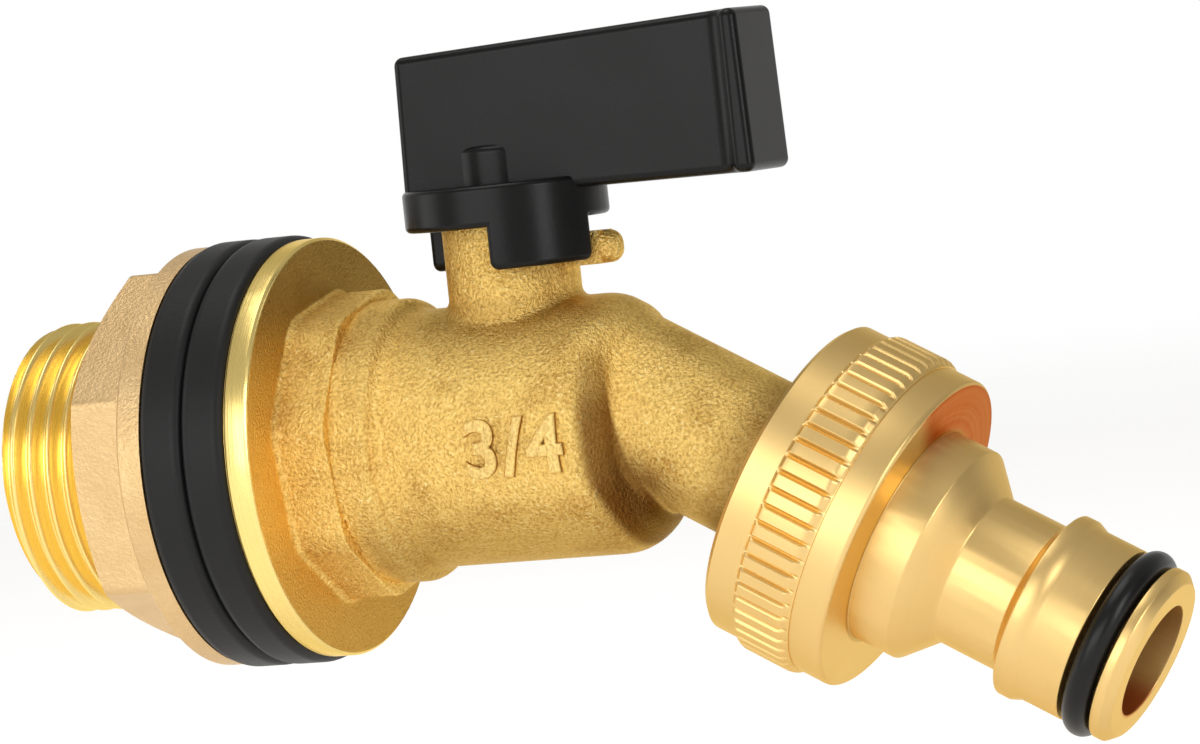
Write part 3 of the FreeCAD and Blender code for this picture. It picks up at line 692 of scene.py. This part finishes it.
def soften(piece, width_mm, degrees):
    """Rounds edges sharper than an angle with a live bevel of a width; the rest shade smoothly."""
    crease(piece, degrees)
    bevel = piece.modifiers.new("soft_edges", "BEVEL")
    bevel.width = width_mm * MM
    bevel.segments = BEVEL_SEGMENTS
    bevel.limit_method = "ANGLE"
    bevel.angle_limit = math.radians(degrees)
    bevel.harden_normals = True


print("bevels have", BEVEL_SEGMENTS, "segments")

# %% [markdown]
# The copy loses the faces that the thread and the spanner flats, made next, stand for. On the real
# casting the barrel's end falls back beside the spout, and the far side is taken to match. The solid is
# fuller there, so the copy's outer skin is drawn back towards the shank, while the bores stay as they
# are. Smooth steps along x, y and z let the move die out before the stem and the collar.

# %% Casting without its thread and flats
FLATS_END_X = 7.3
BEAD_R = 12.7
END_PULL = 1.8
PULL_START_X, PULL_END_X = (24.0, 31.0), (40.0, 34.0)
PULL_LOW_Z, PULL_HIGH_Z = (-10.0, -3.0), (10.0, 6.0)
PULL_SIDE_Y = (3.0, 7.0)
SPOUT_WALL_R = 6.5
FACE_SLACK = 0.005
BORE_SLACK = 0.15
BEAD_SLACK = 0.1
CAST_EDGE_R = 0.3
SOLID_CREASE = 30


def ease(value, low, high):
    """Smooth S from 0 at low to 1 at high."""
    share = np.clip((value - low) / (high - low), 0.0, 1.0)
    return share * share * (3 - 2 * share)


def draw_back_barrel_end(piece):
    """Moves x of the outer skin by -pull x the product of eased shares of x, z and y."""
    points = np.empty(3 * len(piece.data.vertices))
    piece.data.vertices.foreach_get("co", points)
    points = points.reshape(-1, 3) / MM
    x, y, z = points.T
    from_spout = spout_distances(points)[1]
    outer = np.where(x < SPOUT_START[0], np.hypot(y, z) > BORE_R, from_spout > SPOUT_WALL_R)
    lengthwise = ease(x, *PULL_START_X) * ease(x, *PULL_END_X)
    upright = ease(z, *PULL_LOW_Z) * ease(z, *PULL_HIGH_Z)
    points[:, 0] -= END_PULL * outer * lengthwise * upright * ease(np.abs(y), *PULL_SIDE_Y)
    piece.data.vertices.foreach_set("co", (points * MM).ravel())
    piece.data.update()


casting = merged_copy("tap_body", "body_casting")
draw_back_barrel_end(casting)
face_x, face_y, face_z = face_centres(casting).T
from_axis = np.hypot(face_y, face_z)
on_thread = (face_x < THREAD_END_X + 2 * FACE_SLACK) & (from_axis > BORE_R + BORE_SLACK)
along_flats = (face_x > FLANGE_FRONT_X + FACE_SLACK) & (face_x < FLATS_END_X + FACE_SLACK)
on_flats = along_flats & (from_axis > BEAD_R - BEAD_SLACK)
drop_faces(casting, on_thread | on_flats)
soften(casting, CAST_EDGE_R, SOLID_CREASE)
wear(casting, body_finish)
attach(casting, "tap")
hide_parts("tap_body")

# %% [markdown]
# Next to the flange the casting has eight flats for a spanner. A pattern has to come out of the sand, so
# its flats meet in soft corners and run into the flange through a small hollow. The piece is drawn like a
# turned one, but its radius at each angle is that of an octagon with round corners.

# %% Spanner flats
FLAT_COUNT = 8
FLAT_R = 13.05
FLATS_TURN = math.radians(169.5)
FLAT_CORNER_R = 3.8
FOOT_HOLLOW_R = 0.7
FRONT_ROUND_R = 0.2
BEAD_OVERLAP = 0.05
FLATS_COLUMNS = FLAT_COUNT * 40
QUARTER_STEPS = 8
FLATS_CREASE = 50


def octagon_radius(turn):
    """Flat / cos(angle from its middle), and past the touching point the circle that rounds a corner; turn is
    the angle from a corner."""
    half = np.pi / FLAT_COUNT
    from_corner = np.abs((turn + half) % (2 * half) - half)
    from_middle = half - from_corner
    centre = (FLAT_R - FLAT_CORNER_R) / np.cos(half)
    under_root = np.maximum(FLAT_CORNER_R**2 - (centre * np.sin(from_corner)) ** 2, 0.0)
    rounded = centre * np.cos(from_corner) + np.sqrt(under_root)
    touching = np.arctan((FLAT_R - FLAT_CORNER_R) * np.tan(half) / FLAT_R)
    return np.where(from_middle < touching, FLAT_R / np.cos(from_middle), rounded)


def spanner_flats():
    """Octagon's radius + hollow x (1 - sin(quarter)) at the flange, - round x (1 - cos(quarter)) in front."""
    turn = round_steps(FLATS_COLUMNS)
    quarter = np.linspace(0.0, np.pi / 2, QUARTER_STEPS)[:, None]
    outline = octagon_radius(turn)
    foot_r = outline + FOOT_HOLLOW_R * (1 - np.sin(quarter))
    front_r = np.maximum(outline - FRONT_ROUND_R * (1 - np.cos(quarter)), BEAD_R)
    foot_x = FLANGE_FRONT_X + FOOT_HOLLOW_R * (1 - np.cos(quarter))
    front_x = FLATS_END_X - FRONT_ROUND_R * (1 - np.sin(quarter))
    radius = np.vstack([foot_r, front_r, np.full((1, FLATS_COLUMNS), BEAD_R - BEAD_OVERLAP)])
    x = np.vstack([foot_x, front_x, [[FLATS_END_X]]])
    return round_x_axis(x, radius, turn + FLATS_TURN)


flats = surface_piece("spanner_flats", spanner_flats())
crease(flats, FLATS_CREASE)
wear(flats, body_finish)
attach(flats, "tap")

# %% [markdown]
# The connector's collar is gripped by hand, so a band of straight teeth runs round it. A rolling tool
# presses them in, and metal that flows like this leaves round flanks and tapered ends. So the collar's
# skin is a lathe profile whose radius also depends on the angle: a smooth tooth that repeats sixty times
# and fades out at both ends. Phases and steps are closest where the skin bends most.

# %% Knurled collar
COLLAR_START = 16.35
KNURL_START = 19.4
KNURL_LENGTH = 5.6
KNURL_TEETH = 60
KNURL_CREST_R = 15.15
KNURL_ROOT_R = 14.72
BAND_R = 14.62
REAR_CHAMFER = 0.4
FRONT_EDGE_R = 0.47
FLANK_SHARE = 0.19
REAR_FADE, FRONT_FADE = 0.5, 0.9
KNURL_SEAM = 0.02
TOOTH_PHASES = np.array(
    [-0.5, -0.47, -0.44, -0.41, -0.36, -0.31, -0.2, 0.0, 0.2, 0.31, 0.36, 0.41, 0.44, 0.47]
)
KNURL_STEPS = np.array(
    [0.0, 0.12, 0.25, 0.4, 0.6, 0.9, 1.8, 2.8, 3.8, 4.6, 4.9, 5.1, 5.25, 5.4, 5.5, 5.6]
)
COLLAR_CREASE = 35


def round_spout(along, radius, angle):
    """Points in metres at a distance along the spout, a radius and an angle from +Y to its upper side."""
    sideways = np.cos(angle)[..., None] * np.array([0.0, 1.0, 0.0])
    outward = sideways + np.sin(angle)[..., None] * np.array(SPOUT_UP)
    on_axis = np.array(SPOUT_START) + along[..., None] * np.array(SPOUT_DIRECTION)
    return (on_axis + radius[..., None] * outward) * MM


def collar_skin():
    """Radius = band, or between the ends of the knurl: root + tooth height x rise(angle) x fade(distance)."""
    turn = (np.arange(KNURL_TEETH)[:, None] + TOOTH_PHASES).ravel() * 2 * np.pi / KNURL_TEETH
    rise = np.tile(ease(0.5 - np.abs(TOOTH_PHASES), 0.0, FLANK_SHARE), KNURL_TEETH)
    fade = ease(KNURL_STEPS, 0.0, REAR_FADE) * ease(KNURL_LENGTH - KNURL_STEPS, 0.0, FRONT_FADE)
    teeth_r = KNURL_ROOT_R + (KNURL_CREST_R - KNURL_ROOT_R) * fade[:, None] * rise
    rear_along = [COLLAR_START, COLLAR_START + REAR_CHAMFER, KNURL_START - KNURL_SEAM]
    rear_r = np.array([BAND_R - REAR_CHAMFER, BAND_R, BAND_R])
    quarter = np.linspace(0.0, np.pi / 2, QUARTER_STEPS)
    edge_along = COLLAR_FRONT - FRONT_EDGE_R * (1 - np.sin(quarter))
    edge_r = BAND_R - FRONT_EDGE_R * (1 - np.cos(quarter))
    front_along = np.append(KNURL_START + KNURL_LENGTH + KNURL_SEAM, edge_along)
    front_r = np.append(BAND_R, edge_r)
    across = np.ones_like(rise)
    radius = np.vstack([rear_r[:, None] * across, teeth_r, front_r[:, None] * across])
    along = np.concatenate([rear_along, KNURL_START + KNURL_STEPS, front_along])[:, None] * across
    return round_spout(along, radius, np.broadcast_to(turn, along.shape))


collar = surface_piece("knurled_collar", collar_skin())
crease(collar, COLLAR_CREASE)
wear(collar, connector_finish)
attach(collar, "tap")

# %% [markdown]
# The rest of the connector is a copy of its solid without the skin that the knurled collar stands for.
# Its edges were broken on the lathe, so a small bevel rounds them too.

# %% Connector without its skin
SKIN_DEPTH = 0.45
TURNED_EDGE_R = 0.12

connector = merged_copy("hose_connector", "connector_turning")
along, from_axis = spout_distances(face_centres(connector))
along_collar = (along > COLLAR_START + FACE_SLACK) & (along < COLLAR_FRONT - FACE_SLACK)
drop_faces(connector, along_collar & (from_axis > BAND_R - SKIN_DEPTH))
soften(connector, TURNED_EDGE_R, SOLID_CREASE)
wear(connector, connector_finish)
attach(connector, "tap")
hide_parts("hose_connector")

# %% [markdown]
# A foundry casts the thread's size into the barrel as raised figures. They are letters of the mould, so
# they have the body's grain and soft edges. Text is made flat and then laid round the barrel: what was
# height on the page becomes an angle, and what was thickness becomes radius. Thin slices let the flat
# faces follow the curve.

# %% Raised size mark
MARK_CENTRE_X = 24.45
MARK_DROP = 0.85
MARK_SIZE = 6.8
MARK_RISE = 0.3
MARK_ROUND = 0.28
MARK_SPACING = 1.12
MARK_THINNING = -0.02
MARK_ROUND_STEPS = 3
MARK_SLICES = 65
PAGE_MERGE_DISTANCE = 0.001
MARK_CREASE = 45


def flat_text(words):
    """Mesh of words about the page's centre, in millimetres, cut into strips by level lines."""
    letters = bpy.data.curves.new("size_mark", "FONT")
    letters.body = words
    letters.size = MARK_SIZE
    letters.align_x = "CENTER"
    letters.align_y = "CENTER"
    letters.space_character = MARK_SPACING
    letters.extrude = MARK_RISE / 2
    letters.bevel_depth = MARK_ROUND
    letters.bevel_resolution = MARK_ROUND_STEPS
    letters.offset = MARK_THINNING
    page = add_object("size_mark_page", letters)
    mesh = bpy.data.meshes.new_from_object(page.evaluated_get(bpy.context.evaluated_depsgraph_get()))
    bpy.data.objects.remove(page)
    shape = bmesh.new()
    shape.from_mesh(mesh)
    bmesh.ops.remove_doubles(shape, verts=shape.verts, dist=PAGE_MERGE_DISTANCE)
    for level in np.linspace(-MARK_SIZE, MARK_SIZE, MARK_SLICES):
        everything = shape.verts[:] + shape.edges[:] + shape.faces[:]
        bmesh.ops.bisect_plane(shape, geom=everything, plane_co=(0, level, 0), plane_no=(0, 1, 0))
    shape.to_mesh(mesh)
    shape.free()
    return mesh


def lay_on_barrel(mesh):
    """Page point (u, v, w) goes to x = centre + u, angle = (v - drop) / radius, and radius + w from the axis;
    the angle is measured from -Y upwards."""
    page = np.empty(3 * len(mesh.vertices))
    mesh.vertices.foreach_get("co", page)
    u, v, w = page.reshape(-1, 3).T
    angle = (v - MARK_DROP) / BARREL_R
    radius = BARREL_R + w
    points = np.stack([MARK_CENTRE_X + u, -radius * np.cos(angle), radius * np.sin(angle)], axis=-1) * MM
    mesh.vertices.foreach_set("co", points.ravel())
    shade_smooth(mesh)
    mesh.update()


mark_mesh = flat_text("3/4")
lay_on_barrel(mark_mesh)
mark = add_object("size_mark", mark_mesh)
crease(mark, MARK_CREASE)
wear(mark, body_finish)
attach(mark, "tap")
print(mark.name, len(mark_mesh.polygons), "faces")

# %% [markdown]
# The floor is a pale disc just under the tap's lowest point. It stands for the paper that a photographer
# rolls out under small goods. Its edge fades away, so no horizon line crosses the picture.

# %% Floor
FLOOR_GAP = 6 * MM
FLOOR_R = 1600 * MM
FLOOR_FADE = (180.0, 900.0)
FLOOR_ROWS, FLOOR_COLUMNS = 24, 96
FLOOR_GLOW = 0.38
WHITE = grey(1.0)


def floor_disc():
    """Rings of a disc: the radius grows along the rows, and the angle falls along the columns."""
    radius = np.linspace(0.0, FLOOR_R, FLOOR_ROWS)
    radius, angle = np.meshgrid(radius, -round_steps(FLOOR_COLUMNS), indexing="ij")
    middle = (cad_low + cad_high) / 2
    height = np.full_like(radius, cad_low.z - FLOOR_GAP)
    return np.stack([middle.x + radius * np.cos(angle), middle.y + radius * np.sin(angle), height], axis=-1)


def floor_paint():
    """Pale clouded paint that glows a little and fades away with the distance."""
    finish = Finish("floor_paint")
    cloud = finish.noise(per_mm=0.01)
    reach = finish.place.vector_math("LENGTH", output=1)
    finish.set(Base_Color=cloud.blend(grey(0.86), grey(0.90)), Roughness=0.8 + cloud * 0.1)
    finish.set(Alpha=1 - reach.step(*FLOOR_FADE), Emission_Color=WHITE, Emission_Strength=FLOOR_GLOW)
    return finish.material


floor = surface_piece("floor", floor_disc())
wear(floor, floor_paint())
print("floor at", round((cad_low.z - FLOOR_GAP) / MM, 1), "mm")

# %% [markdown]
# The surroundings are white behind the tap, grey on the camera's side and dark on the spout's side,
# because metal that faces a white room looks flat: the grey gives the brass its darker tones. How far a
# part of the room lies towards one side is the dot product of two fixed directions, its own and the
# side's.

# %% Surroundings
ROOM_GREY, SPOUT_SIDE_GREY = colour(0.46, 0.45, 0.43), colour(0.20, 0.19, 0.18)
SPOUT_SIDE_FADE, BEHIND_FADE = (0.70, 0.92), (-0.97, -0.80)

world = bpy.data.worlds.new("studio")
world.use_nodes = True
bpy.context.scene.world = world
outward = Wire(world.node_tree, world.node_tree.nodes.new("ShaderNodeTexCoord").outputs["Generated"])
frontness = outward.vector_math("DOT_PRODUCT", back, output=1)
spoutness = outward.vector_math("DOT_PRODUCT", (1.0, 0.0, 0.0), output=1)
room = spoutness.step(*SPOUT_SIDE_FADE).blend(ROOM_GREY, SPOUT_SIDE_GREY)
surroundings = frontness.step(*BEHIND_FADE).blend(WHITE, room)
world.node_tree.links.new(surroundings.socket, world.node_tree.nodes["Background"].inputs["Color"])
print("surroundings", world.name)

# %% [markdown]
# Metal shows the room more than its own colour, so the lights are large soft panels. The widest one
# stands in front and draws the long highlights on the barrel and the collar. Weaker ones on the left,
# above, behind and on the right bring out the flange's rim, the lever's top, the far edges and the faces
# that look along the spout.

# %% Lights


def soft_panel(name, place, size, watts):
    """Rectangular area light that faces the tap, with its place and size in metres."""
    light = bpy.data.lights.new(name, "AREA")
    light.shape = "RECTANGLE"
    light.size, light.size_y = size
    light.energy = watts
    lamp = add_object(name, light)
    lamp.location = place
    lamp.rotation_euler = (AIM - Vector(place)).to_track_quat("-Z", "Y").to_euler()


soft_panel("front_panel", place=(-0.05, -0.64, 0.15), size=(0.62, 0.36), watts=1.9)
soft_panel("left_panel", place=(-0.50, -0.16, 0.10), size=(0.25, 0.30), watts=0.4)
soft_panel("top_panel", place=(-0.04, -0.05, 0.55), size=(0.40, 0.30), watts=0.9)
soft_panel("back_panel", place=(0.24, 0.46, 0.06), size=(0.30, 0.18), watts=0.05)
soft_panel("right_panel", place=(0.46, -0.20, 0.11), size=(0.14, 0.24), watts=0.6)
bpy.context.scene.view_settings.view_transform = "Standard"

# %% [markdown]
